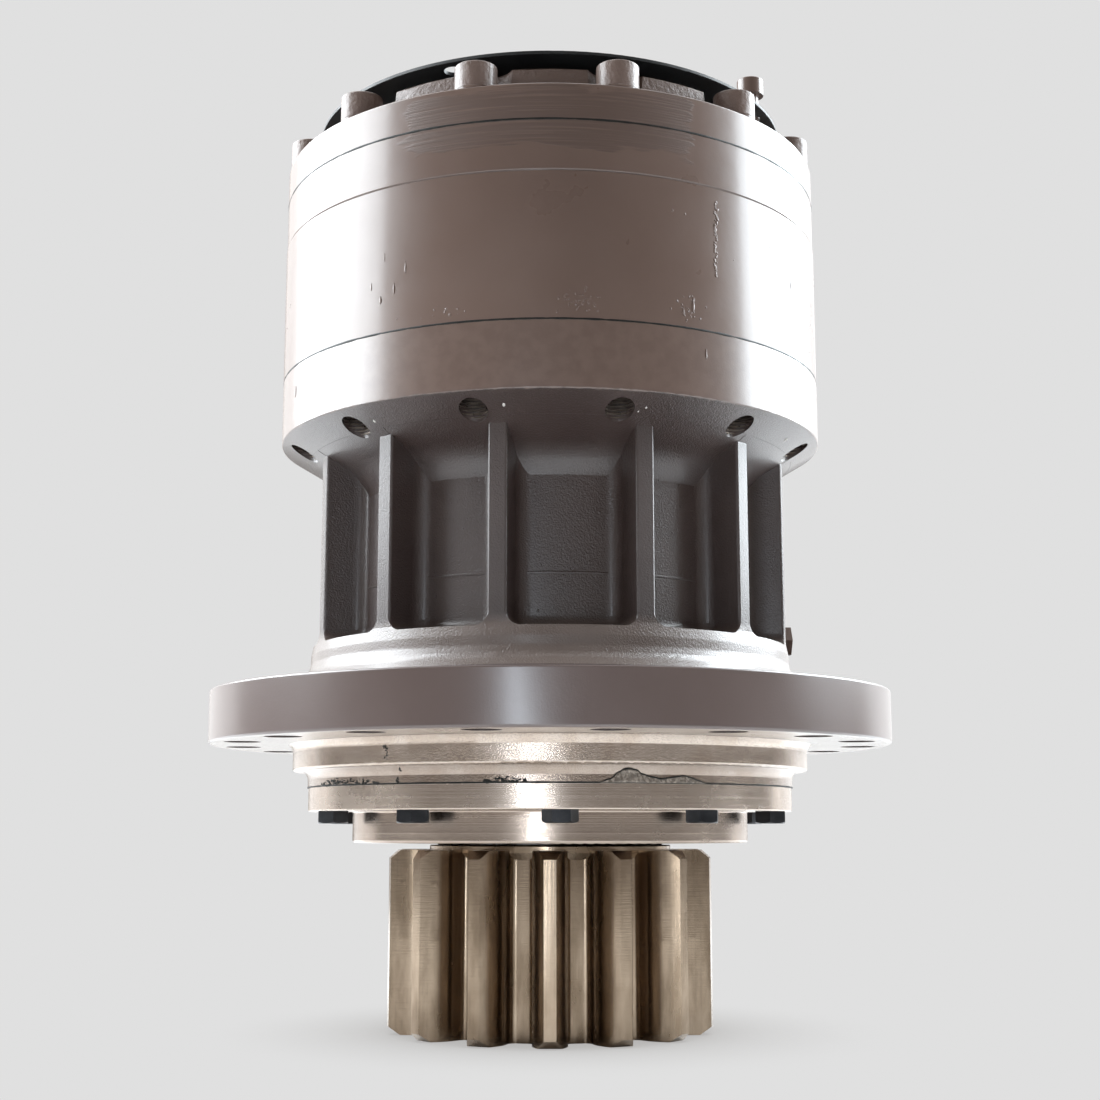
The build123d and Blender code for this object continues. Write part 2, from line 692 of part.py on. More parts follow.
pins2, locks2, wash2, need2 = [], [], [], []
for k in range(3):
    a = radians(TH2 + 120 * k)
    x, y = C2 * cos(a), C2 * sin(a)
    p = rev([(0, 196.2), (PIN2_R, 196.2, 1.0), (PIN2_R, 283.8, 1.0), (0, 283.8)])
    p = Pos(x, y, 0) * p
    p = p - Rot(0, 0, TH2 + 120 * k) * (Pos(C2 + 13, 0, 279) * Rot(0, 90, 0) * Cylinder(3.02, 16))
    pins2.append(p)
    locks2.append(
        Rot(0, 0, TH2 + 120 * k) * (Pos((84.0 + 112.5) / 2, 0, 279) * Rot(0, 90, 0) * Cylinder(3.0, 28.5))
    )
    wash2 += [tube(PIN2_R + 0.2, 33.0, 212.6, 219.0, x, y), tube(PIN2_R + 0.2, 33.0, 268.6, 273.6, x, y)]
    c = tube(PIN2_R + 1.2, 23.6, 219.8, 267.6, x, y)
    for j in range(12):
        b = 2 * pi * j / 12
        c = c + cyl(3.2, 221.0, 265.0, x + 21.4 * cos(b), y + 21.4 * sin(b))
    need2.append(c)
save(group(pins2), "planet_pins_2")
save(group(locks2), "pin_lock_dowels_2")
save(group(wash2), "thrust_washers_2")
save(group(need2), "planet_bearings_2")

plate = cyl(44.0, 203.2, 210.6)
for k in range(4):
    a = radians(45 + 90 * k)
    plate = plate - cyl(6.4, 200, 212, 24 * cos(a), 24 * sin(a))
save(plate, "shaft_end_plate")
eb = []
for k in range(4):
    a = radians(45 + 90 * k)
    x, y = 24 * cos(a), 24 * sin(a)
    eb.append(cyl(6.0, 180, 210.6, x, y) + hexa(17, 210.6, 216.6, x, y, 12 * k))
save(group(eb), "end_plate_bolts")
save(rev([(0, 210.6), (12.0, 210.6), (12.0, 219.4, 1.5), (0, 219.4)]), "thrust_button")


def planet(m, z, bore, z0, z1, phase, x, y):
    g = prism(tooth_polygon(m, z, m * z / 2 - 1.25 * m, m * z / 2 + m, phase, -THIN), z0, z1)
    g = g - cyl(bore, z0 - 1, z1 + 1)
    return Pos(x, y, 0) * g


sun2_phase, pl2 = phases(TH2, Z_SUN2, Z_PL2)
sun1_phase, pl1 = phases(TH1, Z_SUN1, Z_PL1)
for k, n in enumerate("abc"):
    a = radians(TH2 + 120 * k)
    g = planet(M, Z_PL2, 25.0, 219.5, 268.1, pl2[k], C2 * cos(a), C2 * sin(a))
    save(g, "planet_gear_2" + n)
    a = radians(TH1 + 120 * k)
    g = planet(M, Z_PL1, 19.0, 303.0, 327.0, pl1[k], C1 * cos(a), C1 * sin(a))
    save(g, "planet_gear_1" + n)

# ---- second stage sun, splined into the first stage carrier -------------
sun2 = prism(
    tooth_polygon(M, Z_SUN2, 25.0, 34.0, sun2_phase, -THIN), 220.0, 270.0
)
sun2 = sun2 + cyl(23.0, 220.0, 299.0) + prism(spline_polygon(16, 24.0, 27.0, 0.5), 286.0, 299.0)
save(sun2, "sun_gear_2")

carrier1 = rev(
    [
        (22.0, 286.5),
        (44.0, 286.5, 1.5),
        (48.0, 288.5),
        (113.0, 288.5, 1.5),
        (113.0, 299.0, 1.5),
        (22.0, 299.0),
    ]
)
carrier1 = carrier1 - prism(spline_polygon(16, 24.0, 27.0, 0.5, 0.06), 285, 300)
for k in range(3):
    a = radians(TH1 + 120 * k)
    carrier1 = carrier1 - cyl(PIN1_R + 0.02, 285, 300, C1 * cos(a), C1 * sin(a))
    carrier1 = carrier1 - Rot(0, 0, TH1 + 120 * k) * (
        Pos(103.0, 0, 293.8) * Rot(0, 90, 0) * Cylinder(2.52, 40)
    )
    # lightening windows between the pins
    a = radians(TH1 + 60 + 120 * k)
    carrier1 = carrier1 - cyl(17.0, 285, 300, 80 * cos(a), 80 * sin(a))
save(carrier1, "carrier_1")

pins1, locks1, wash1, need1, clips1 = [], [], [], [], []
for k in range(3):
    a = radians(TH1 + 120 * k)
    x, y = C1 * cos(a), C1 * sin(a)
    p = rev(
        [
            (0, 288.7),
            (PIN1_R, 288.7, 0.8),
            (PIN1_R, 330.2),
            (12.6, 330.2),
            (12.6, 332.0),
            (PIN1_R, 332.0),
            (PIN1_R, 334.0, 0.8),
            (0, 334.0),
        ]
    )
    p = Pos(x, y, 0) * p
    p = p - Rot(0, 0, TH1 + 120 * k) * (Pos(C1 + 10, 0, 293.8) * Rot(0, 90, 0) * Cylinder(2.52, 12))
    pins1.append(p)
    locks1.append(
        Rot(0, 0, TH1 + 120 * k) * (Pos((88.5 + 112.0) / 2, 0, 293.8) * Rot(0, 90, 0) * Cylinder(2.5, 23.5))
    )
    wash1 += [tube(PIN1_R + 0.2, 26.0, 299.2, 302.5, x, y), tube(PIN1_R + 0.2, 26.0, 327.5, 330.1, x, y)]
    c = tube(PIN1_R + 0.9, 17.9, 303.3, 326.7, x, y)
    for j in range(10):
        b = 2 * pi * j / 10
        c = c + cyl(2.2, 305.0, 325.0, x + 16.5 * cos(b), y + 16.5 * sin(b))
    need1.append(c)
    clips1.append(
        (tube(12.7, 17.6, 330.3, 331.8, 0, 0) - Pos(16, 0, 331) * Box(10, 8, 4)).moved(Location((x, y, 0)))
    )
save(group(pins1), "planet_pins_1")
save(group(locks1), "pin_lock_dowels_1")
save(group(wash1), "thrust_washers_1")
save(group(need1), "planet_bearings_1")
save(group(clips1), "planet_pin_circlips_1")
save(rev([(0, 299.2), (20.0, 299.2), (20.0, 301.4, 0.6), (0, 301.4)]), "sun_thrust_pad")

# ---- input sun, with the motor's splined bore ---------------------------
sun1 = prism(
    tooth_polygon(M, Z_SUN1, 37.0, 46.0, sun1_phase, -THIN), 303.0, 327.0
)
sun1 = sun1 + rev(
    [
        (0, 302.0),
        (36.0, 302.0, 1.0),
        (36.0, 329.0),
        (31.0, 331.0, 2.0),
        (31.0, 356.0, 1.5),
        (0, 356.0),
    ]
)
sun1 = sun1 - prism(spline_polygon(22, 19.0, 21.5, 0.5), 312.0, 357.0)
sun1 = sun1 - cyl(18.6, 311.0, 357.0)
save(sun1, "sun_gear_1")

# ---- transport cover ----------------------------------------------------
Z_TC = Z_BOSS + 0.02
tc = rev([(0, Z_TC), (TC_R, Z_TC, 0.3), (TC_R, Z_TC + TC_T, 0.3), (0, Z_TC + TC_T)])
for k in range(4):
    x, y = pos(TC_PCD / 2, TC_PHI + 90 * k)
    tc = tc - cyl(TC_HOLE_R, Z_TC - 1, Z_TC + TC_T + 1, x, y)
save(tc, "transport_cover")
ts = []
for k in (1, 3):
    x, y = pos(TC_PCD / 2, TC_PHI + 90 * k)
    s = rev([(0, 393.0), (8.0, 393.0), (8.0, 403.0, 0.8), (0, 403.0)])
    s = s - hexa(8, 398, 404, 0, 0, 20 * k)
    s = s + cyl(4.9, 354.0, 393.0)
    ts.append(Pos(x, y, 0) * s)
save(group(ts), "transport_cover_screws")
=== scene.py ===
import json
import math
import random

import bmesh
import bpy
import numpy as np
from mathutils import Matrix, Vector


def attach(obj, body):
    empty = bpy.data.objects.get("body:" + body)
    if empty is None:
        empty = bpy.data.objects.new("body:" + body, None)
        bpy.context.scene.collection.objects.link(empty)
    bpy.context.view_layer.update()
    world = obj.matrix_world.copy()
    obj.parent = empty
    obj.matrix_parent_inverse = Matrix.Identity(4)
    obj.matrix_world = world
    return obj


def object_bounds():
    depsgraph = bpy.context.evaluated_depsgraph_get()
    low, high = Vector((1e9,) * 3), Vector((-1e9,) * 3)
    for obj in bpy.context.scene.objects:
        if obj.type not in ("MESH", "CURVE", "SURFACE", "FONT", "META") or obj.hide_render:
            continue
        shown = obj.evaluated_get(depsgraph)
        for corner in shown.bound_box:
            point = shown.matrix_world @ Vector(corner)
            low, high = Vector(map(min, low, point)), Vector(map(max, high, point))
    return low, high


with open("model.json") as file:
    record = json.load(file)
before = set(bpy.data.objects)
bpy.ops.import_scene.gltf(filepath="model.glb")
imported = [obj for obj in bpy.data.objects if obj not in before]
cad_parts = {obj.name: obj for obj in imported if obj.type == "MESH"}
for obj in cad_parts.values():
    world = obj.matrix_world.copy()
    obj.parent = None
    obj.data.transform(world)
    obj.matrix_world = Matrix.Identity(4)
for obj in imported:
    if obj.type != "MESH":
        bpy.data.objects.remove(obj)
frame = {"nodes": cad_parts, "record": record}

cad_lo, cad_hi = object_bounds()
rng = random.Random(11)
scene = bpy.context.scene
NODES = frame["nodes"]
MM = 0.001


def pos(r, phi):
    """Metres. r in mm, phi in degrees from the front (-Y) towards +X."""
    a = math.radians(phi)
    return r * MM * math.sin(a), -r * MM * math.cos(a)


# ---------------------------------------------------------------- camera
cam_data = bpy.data.cameras.new("camera")
cam = bpy.data.objects.new("camera", cam_data)
scene.collection.objects.link(cam)
cam.location = (0.0, -1.045, -0.0494)
cam.rotation_euler = (math.radians(99.26), 0.0, 0.0)
cam_data.sensor_fit = "HORIZONTAL"
cam_data.sensor_width = 36.0
cam_data.lens = 56.12
cam_data.clip_start, cam_data.clip_end = 0.05, 60.0
scene.camera = cam

# ---------------------------------------------------------------- colour
scene.view_settings.view_transform = "Standard"
scene.view_settings.look = "None"
scene.view_settings.exposure = 0.0


# ---------------------------------------------------------------- node helpers
class Graph:
    """A small wrapper that builds a node tree by calls."""

    def __init__(self, name):
        self.mat = bpy.data.materials.new(name)
        self.mat.use_nodes = True
        self.t = self.mat.node_tree
        self.t.nodes.clear()
        self.out = self.t.nodes.new("ShaderNodeOutputMaterial")
        self.bsdf = self.t.nodes.new("ShaderNodeBsdfPrincipled")
        self.t.links.new(self.bsdf.outputs[0], self.out.inputs[0])
        self._co = None
        self._sep = None

    def n(self, kind, **kw):
        node = self.t.nodes.new("ShaderNode" + kind)
        for k, v in kw.items():
            setattr(node, k, v)
        return node

    def put(self, node, socket, value):
        s = node.inputs[socket]
        if isinstance(value, bpy.types.NodeSocket):
            self.t.links.new(value, s)
        else:
            s.default_value = value

    def co(self):
        if self._co is None:
            self._co = self.n("TexCoord").outputs["Object"]
        return self._co

    def xyz(self):
        if self._sep is None:
            s = self.n("SeparateXYZ")
            self.put(s, 0, self.co())
            self._sep = (s.outputs[0], s.outputs[1], s.outputs[2])
        return self._sep

    def math(self, op, a, b=0.0, c=0.0, clamp=False):
        m = self.n("Math", operation=op, use_clamp=clamp)
        self.put(m, 0, a)
        if op not in ("ABSOLUTE", "SQRT", "FRACT", "SINE", "COSINE", "FLOOR"):
            self.put(m, 1, b)
        if op in ("MULTIPLY_ADD", "SMOOTH_MIN", "SMOOTH_MAX", "WRAP", "COMPARE"):
            self.put(m, 2, c)
        return m.outputs[0]

    def radius(self):
        x, y, _ = self.xyz()
        return self.math("SQRT", self.math("ADD", self.math("MULTIPLY", x, x), self.math("MULTIPLY", y, y)))

    def upright(self):
        """0 on walls that stand up, 1 on faces that lie flat."""
        sep = self.n("SeparateXYZ")
        self.put(sep, 0, self.n("NewGeometry").outputs["Normal"])
        return self.step(self.math("ABSOLUTE", sep.outputs[2]), 0.45, 0.55)

    def scaled(self, sx, sy, sz, off=(0, 0, 0)):
        m = self.n("Mapping")
        self.put(m, 0, self.co())
        m.inputs["Scale"].default_value = (sx, sy, sz)
        m.inputs["Location"].default_value = off
        return m.outputs[0]

    def noise(self, scale, detail=3.0, rough=0.5, vec=None, distortion=0.0, dims="3D"):
        t = self.n("TexNoise", noise_dimensions=dims)
        if dims == "1D":
            self.put(t, "W", vec)
        else:
            self.put(t, "Vector", vec if vec is not None else self.co())
        self.put(t, "Scale", scale)
        self.put(t, "Detail", detail)
        self.put(t, "Roughness", rough)
        self.put(t, "Distortion", distortion)
        return t.outputs[0]

    def voronoi(self, scale, feature="F1", vec=None, rand=1.0):
        t = self.n("TexVoronoi", feature=feature)
        self.put(t, "Vector", vec if vec is not None else self.co())
        self.put(t, "Scale", scale)
        self.put(t, "Randomness", rand)
        return t.outputs["Distance"]

    def step(self, x, lo, hi, to_lo=0.0, to_hi=1.0, smooth=True):
        m = self.n("MapRange", clamp=True, interpolation_type="SMOOTHSTEP" if smooth else "LINEAR")
        self.put(m, 0, x)
        self.put(m, 1, lo)
        self.put(m, 2, hi)
        self.put(m, 3, to_lo)
        self.put(m, 4, to_hi)
        return m.outputs[0]

    def mixc(self, f, a, b, blend="MIX"):
        m = self.n("Mix", data_type="RGBA", blend_type=blend)
        self.put(m, 0, f)
        for i, v in ((6, a), (7, b)):
            if isinstance(v, tuple) and len(v) == 3:
                v = (*v, 1.0)
            self.put(m, i, v)
        return m.outputs[2]

    def mixf(self, f, a, b):
        m = self.n("Mix", data_type="FLOAT")
        self.put(m, 0, f)
        self.put(m, 2, a)
        self.put(m, 3, b)
        return m.outputs[0]

    def bump(self, height, dist, strength=1.0, normal=None):
        b = self.n("Bump")
        self.put(b, "Height", height)
        self.put(b, "Distance", dist)
        self.put(b, "Strength", strength)
        if normal is not None:
            self.put(b, "Normal", normal)
        return b.outputs[0]

    def set(self, **kw):
        for k, v in kw.items():
            k = k.replace("_", " ")
            if isinstance(v, tuple) and len(v) == 3:
                v = (*v, 1.0)
            self.put(self.bsdf, k, v)
        return self.mat


def srgb(r, g, b):
    return tuple(((c / 255 + 0.055) / 1.055) ** 2.4 if c > 10 else c / 255 / 12.92 for c in (r, g, b))


# ---------------------------------------------------------------- materials
def ring_angle(g):
    """Returns the object coordinates unchanged."""
    return g.co()


DRUM_A, DRUM_B = (0.112, 0.074, 0.060), (0.130, 0.088, 0.072)


def drum_paint(name="drum_paint"):
    g = Graph(name)
    x, y, z = g.xyz()
    r = g.radius()
    cloudy = g.noise(9.0, 3, 0.5)
    c = g.mixc(g.step(cloudy, 0.3, 0.7), DRUM_A, DRUM_B)
    # darker brushed touch-up band in front, over the upper seam
    warp = g.noise(1.0, 3, 0.6, g.scaled(26, 26, 150))
    front = g.step(y, 0.02, -0.05)
    xa = g.math("ADD", x, g.math("MULTIPLY", g.math("SUBTRACT", warp, 0.5), 0.030))
    za = g.math("ADD", z, g.math("MULTIPLY", g.math("SUBTRACT", g.noise(1.0, 3, 0.6, g.scaled(18, 18, 90)), 0.5), 0.020))
    patch = g.math("MULTIPLY", g.step(g.math("ABSOLUTE", xa), 0.0795, 0.0770), g.step(za, 0.3165, 0.3180))
    patch = g.math("MULTIPLY", patch, g.step(za, 0.3515, 0.3500))
    patch = g.math("MULTIPLY", patch, front)
    streak = g.noise(1.0, 4, 0.6, g.scaled(14, 14, 700))
    patch = g.math("MULTIPLY", patch, g.step(streak, 0.30, 0.55))
    c = g.mixc(g.math("MULTIPLY", patch, 0.6), c, (0.066, 0.042, 0.034))
    # dust and fine specks
    dust = g.step(g.voronoi(620.0, vec=g.scaled(1, 1, 1, (0.3, 0.1, 0.2))), 0.075, 0.04)
    dust = g.math("MULTIPLY", dust, g.step(g.noise(16.0, 3, 0.6), 0.52, 0.66))
    c = g.mixc(g.math("MULTIPLY", dust, 0.12), c, (0.24, 0.20, 0.17))
    rough = g.step(g.noise(26.0, 4, 0.6), 0.3, 0.75, 0.27, 0.36)
    rough = g.math("ADD", rough, g.math("MULTIPLY", patch, 0.12))
    # the raised ring's scalloped edge is left as cast
    cast = g.math("MULTIPLY", g.step(z, 0.3534, 0.3540), g.step(z, 0.3706, 0.3700))
    orange = g.noise(240.0, 2, 0.5)
    fine = g.noise(1400.0, 2, 0.5)
    h = g.math("ADD", g.math("MULTIPLY", orange, 0.7), g.math("MULTIPLY", fine, 0.15))
    n = g.bump(h, 0.00012, 0.55)
    n = g.bump(g.math("MULTIPLY", patch, streak), 0.0003, 0.5, n)
    n = g.bump(g.math("MULTIPLY", g.noise(300.0, 4, 0.65), cast), 0.0011, 0.9, n)
    rough = g.math("ADD", rough, g.math("MULTIPLY", cast, 0.14))
    return g.set(Base_Color=c, Roughness=rough, Normal=n, Metallic=0.0, Coat_Weight=0.35, Coat_Roughness=0.14, Specular_IOR_Level=0.5)


def casing_paint():
    g = Graph("casing_paint")
    x, y, z = g.xyz()
    r = g.radius()
    grain = g.noise(950.0, 3, 0.6)
    coarse = g.noise(150.0, 3, 0.5)
    tone = g.noise(24.0, 3, 0.5)
    pores = g.voronoi(520.0)
    wob = g.math("MULTIPLY", g.math("SUBTRACT", g.noise(180.0, 3, 0.6), 0.5), 0.002)
    zz = g.math("ADD", z, wob)
    # masks: turned bands (smooth) against as-cast skin
    drum = g.math("MULTIPLY", g.step(zz, 0.1806, 0.1816), g.step(r, 0.158, 0.162))
    rim = g.math("MULTIPLY", g.step(r, 0.1985, 0.2005), g.step(z, 0.040, 0.035))
    under = g.step(z, 0.0002, -0.0002)
    smooth = g.math("MAXIMUM", drum, rim)
    # the as-cast skin is coloured well below the drum's paint: partly its own darker tone, partly painted shade for the
    # pockets and cove
    c_cast = g.mixc(g.step(tone, 0.3, 0.7), (0.036, 0.0225, 0.0195), (0.046, 0.030, 0.026))
    c_cast = g.mixc(g.step(grain, 0.5, 0.8, 0, 0.2), c_cast, (0.020, 0.015, 0.014))
    # the foot of the ribs is painted paler: painted light where the upward-facing shoulder catches the light from above
    base = g.math("MULTIPLY", g.step(zz, 0.0655, 0.0560), g.step(z, 0.0361, 0.0363))
    c_cast = g.mixc(base, c_cast, g.mixc(g.step(tone, 0.3, 0.7), (0.125, 0.094, 0.080), (0.150, 0.116, 0.100)))
    c_drum = g.mixc(g.step(coarse, 0.3, 0.7), DRUM_A, DRUM_B)
    c_rim = g.mixc(g.step(g.noise(11.0, 3, 0.5), 0.3, 0.7), (0.087, 0.061, 0.055), (0.104, 0.076, 0.070))
    c_low = g.mixc(g.step(g.noise(60, 4, 0.6), 0.35, 0.65), (0.43, 0.345, 0.28), (0.51, 0.43, 0.365))
    speck = g.step(g.noise(1500.0, 2, 0.7), 0.46, 0.60)
    c_low = g.mixc(g.math("MULTIPLY", speck, 0.35), c_low, srgb(92, 82, 75))
    # the foot below the pilot is coloured darker and browner
    c_low = g.mixc(g.math("MULTIPLY", g.step(z, -0.0154, -0.0160), 0.5), c_low, (0.150, 0.108, 0.084))
    c = g.mixc(drum, c_cast, c_drum)
    c = g.mixc(rim, c, c_rim)
    c = g.mixc(under, c, c_low)
    rough = g.step(tone, 0.3, 0.7, 0.29, 0.36)
    rough = g.mixf(smooth, rough, 0.30)
    rough = g.mixf(under, rough, 0.25)
    face = g.math("MULTIPLY", g.step(r, 0.1422, 0.1427), g.math("MULTIPLY", g.step(z, 0.0615, 0.0650), g.step(z, 0.1680, 0.1665)))
    rough = g.mixf(face, rough, 0.55)
    h = g.math("ADD", g.math("MULTIPLY", grain, 0.8), g.math("MULTIPLY", coarse, 0.12))
    h = g.math("SUBTRACT", h, g.math("MULTIPLY", g.step(pores, 0.25, 0.05), 0.10))
    h = g.math("MULTIPLY", h, g.mixf(under, 1.0, 0.32))
    h = g.math("MULTIPLY", h, g.mixf(smooth, 1.0, 0.12))
    n = g.bump(h, 0.00062, 0.9)
    return g.set(Base_Color=c, Roughness=rough, Normal=n, Metallic=g.math("MULTIPLY", under, 0.85), Coat_Weight=0.5, Coat_Roughness=0.22, Specular_IOR_Level=0.6)


def turned(name, tint, dark, metal=1.0, rough=(0.24, 0.42), line=2600.0):
    g = Graph(name)
    x, y, z = g.xyz()
    r = g.radius()
    # tool lines: fine grooves that run round the axis
    k = g.mixf(g.upright(), z, r)
    lines = g.noise(line, 2, 0.7, k, dims="1D")
    bands = g.noise(line / 9, 2, 0.6, k, dims="1D")
    smudge = g.noise(38.0, 5, 0.62)
    stain = g.step(g.noise(17.0, 4, 0.6), 0.54, 0.72)
    c = g.mixc(g.step(smudge, 0.3, 0.75), tint, dark)
    c = g.mixc(g.math("MULTIPLY", stain, 0.35), c, dark)
    if name == "turned_steel":
        # painted shade: the seal cover's nose is darkened where the row of bolts shadows it
        nose_painted_shade = g.math("MULTIPLY", g.step(z, -0.0388, -0.0396), g.step(r, 0.122, 0.120))
        c = g.mixc(g.math("MULTIPLY", nose_painted_shade, 0.42), c, (0.190, 0.138, 0.106))
    ro = g.step(smudge, 0.3, 0.8, rough[0], rough[1])
    ro = g.math("ADD", ro, g.math("MULTIPLY", bands, 0.08))
    h = g.math("ADD", g.math("MULTIPLY", lines, 1.0), g.math("MULTIPLY", bands, 0.8))
    n = g.bump(h, 0.00004, 0.7)
    return g.set(Base_Color=c, Roughness=ro, Normal=n, Metallic=metal)


def gear_steel(name="gear_steel"):
    g = Graph(name)
    x, y, z = g.xyz()
    # feed marks along the teeth, oil film and handling stains
    up = g.noise(1.0, 3, 0.6, g.scaled(900, 900, 12))
    across = g.noise(1.0, 3, 0.6, g.scaled(60, 60, 1500))
    oil = g.noise(1.0, 4, 0.6, g.scaled(46, 46, 14))
    c = g.mixc(g.step(oil, 0.3, 0.72), (0.33, 0.256, 0.188), (0.165, 0.119, 0.080))
    c = g.mixc(g.step(up, 0.5, 0.8, 0, 0.25), c, (0.075, 0.055, 0.040))
    ro = g.step(oil, 0.3, 0.8, 0.20, 0.31)
    h = g.math("ADD", g.math("MULTIPLY", up, 0.8), g.math("MULTIPLY", across, 0.5))
    n = g.bump(h, 0.00007, 0.6)
    return g.set(Base_Color=c, Roughness=ro, Normal=n, Metallic=1.0)


def plain(name, a, b, metal, rough, scale=60.0, bump=0.00006, fine=900.0, spec=0.5):
    g = Graph(name)
    m = g.noise(scale, 4, 0.6)
    c = g.mixc(g.step(m, 0.3, 0.7), a, b)
    ro = g.step(m, 0.25, 0.75, rough[0], rough[1])
    n = g.bump(g.noise(fine, 3, 0.55), bump, 0.7)
    return g.set(Base_Color=c, Roughness=ro, Normal=n, Metallic=metal, Specular_IOR_Level=spec)


M_DRUM = drum_paint()
M_CAST = casing_paint()
M_TURNED = turned("turned_steel", (0.50, 0.424, 0.364), (0.40, 0.336, 0.286), 1.0, (0.17, 0.27))
M_GEAR = gear_steel()
M_BLACK_OXIDE = plain("black_oxide", srgb(34, 35, 38), srgb(52, 53, 56), 0.7, (0.28, 0.45))
M_SHEET = plain("black_sheet", srgb(18, 20, 22), srgb(28, 30, 31), 0.0, (0.42, 0.6), 40.0)
M_BEARING = turned("bearing_steel", srgb(205, 206, 208), srgb(176, 177, 180), 1.0, (0.10, 0.2), 3800.0)
M_BRONZE = plain("bronze", srgb(186, 142, 82), srgb(160, 116, 62), 1.0, (0.26, 0.42))
M_RUBBER = plain("seal_rubber", srgb(26, 24, 23), srgb(40, 37, 35), 0.0, (0.5, 0.65))
M_COPPER = plain("copper", srgb(190, 122, 90), srgb(150, 88, 60), 1.0, (0.25, 0.45))
M_SEALANT = plain("seam_sealant", srgb(9, 11, 10), srgb(26, 27, 24), 0.0, (0.4, 0.6), 300.0, 0.0002, 1800.0, 0.25)
M_THREAD = plain("thread_steel", (0.16, 0.135, 0.112), (0.24, 0.20, 0.17), 0.9, (0.25, 0.4), 260.0, 0.00004, 1500.0)
M_PALE = plain("dry_sealant", (0.55, 0.52, 0.48), (0.72, 0.69, 0.65), 0.0, (0.5, 0.7), 400.0, 0.0001, 1500.0)
M_FILM = plain("sealant_film", srgb(96, 88, 80), srgb(132, 122, 112), 0.35, (0.2, 0.34), 500.0, 0.0003, 900.0)

BY_SLOT = {
    "cast_paint": M_CAST, "drum_paint": M_DRUM, "screw_paint": M_DRUM, "turned_steel": M_TURNED,
    "gear_steel": M_GEAR, "black_oxide": M_BLACK_OXIDE, "black_sheet": M_SHEET,
    "bearing_steel": M_BEARING, "bronze": M_BRONZE, "seal_rubber": M_RUBBER, "copper": M_COPPER,
}
for sub in frame["record"]["subparts"]:
    o = NODES[sub["node"]]
    m = BY_SLOT[sub["material_slot"]]
    if not o.material_slots:
        o.data.materials.append(m)
    for s in o.material_slots:
        s.link = "OBJECT"
        s.material = m


# ---------------------------------------------------------------- mesh helpers
def mesh(name, verts, faces, material, body="housing", slot=None, smooth=True):
    me = bpy.data.meshes.new(name)
    me.from_pydata([tuple(v) for v in verts], [], [tuple(f) for f in faces])
    me.validate()
    me.update()
    for p in me.polygons:
        p.use_smooth = smooth
    o = bpy.data.objects.new(name, me)
    scene.collection.objects.link(o)
    o.data.materials.append(material)
    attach(o, body)
    return o


def ring_tube(name, n, m, centre, section, material, **kw):
    """Closed tube round Z. centre(phi) -> (R, z) mm; section(phi, t) -> (dr, dz) mm."""
    verts, faces = [], []
    for i in range(n):
        phi = 360.0 * i / n
        R, zc = centre(phi)
        for j in range(m):
            dr, dz = section(phi, j / m)
            px, py = pos(R + dr, phi)
            verts.append((px, py, (zc + dz) * MM))
    for i in range(n):
        for j in range(m):
            a, b = i * m + j, i * m + (j + 1) % m
            c, d = ((i + 1) % n) * m + (j + 1) % m, ((i + 1) % n) * m + j
            faces.append((a, d, c, b))
    return mesh(name, verts, faces, material, **kw)


def wave(seed, terms=7, top=40):
    """A smooth periodic function of the angle, about -1..1."""
    r = random.Random(seed)
    parts = [(r.randint(3, top), r.uniform(0, 6.28), r.uniform(0.4, 1.0)) for _ in range(terms)]
    total = sum(p[2] for p in parts)
    return lambda phi: sum(a * math.sin(k * math.radians(phi) + p) for k, p, a in parts) / total


# ---------------------------------------------------------------- seam sealant
def seam(name, R, z, half, proud, seed):
    w1, w2 = wave(seed, 9, 60), wave(seed + 1, 9, 90)

    def section(phi, t):
        a = 2 * math.pi * t
        k = 1 + 0.22 * w1(phi)
        return (proud * math.cos(a) * (1 + 0.5 * w2(phi)), half * k * math.sin(a))

    return ring_tube(name, 720, 10, lambda phi: (R - 0.35, z), section, M_SEALANT, slot="seal_rubber")


seam("seam_bead_upper", 164.55, 331.5, 0.85, 0.5, 3)
seam("seam_bead_middle", 165.0, 219.0, 0.85, 0.45, 5)


def foot_r(z):
    """Radius in mm of the casting's foot and pilot at height z mm."""
    if z < -20.74:
        return 145.0
    if z < -16.1:
        return 151.0 - math.sqrt(max(0.0, 36.0 - (z + 20.74) ** 2))
    return 154.0


def lower_bead():
    w1, w2 = wave(21, 9, 70), wave(22, 9, 120)

    def section(phi, t):
        a = 2 * math.pi * t
        return (0.42 * math.cos(a) * (1 + 0.4 * w2(phi)), 0.5 * (1 + 0.45 * w1(phi)) * math.sin(a))

    return ring_tube("seam_bead_lower", 900, 10, lambda phi: (144.75, -25.0), section, M_SEALANT, slot="seal_rubber")


lower_bead()


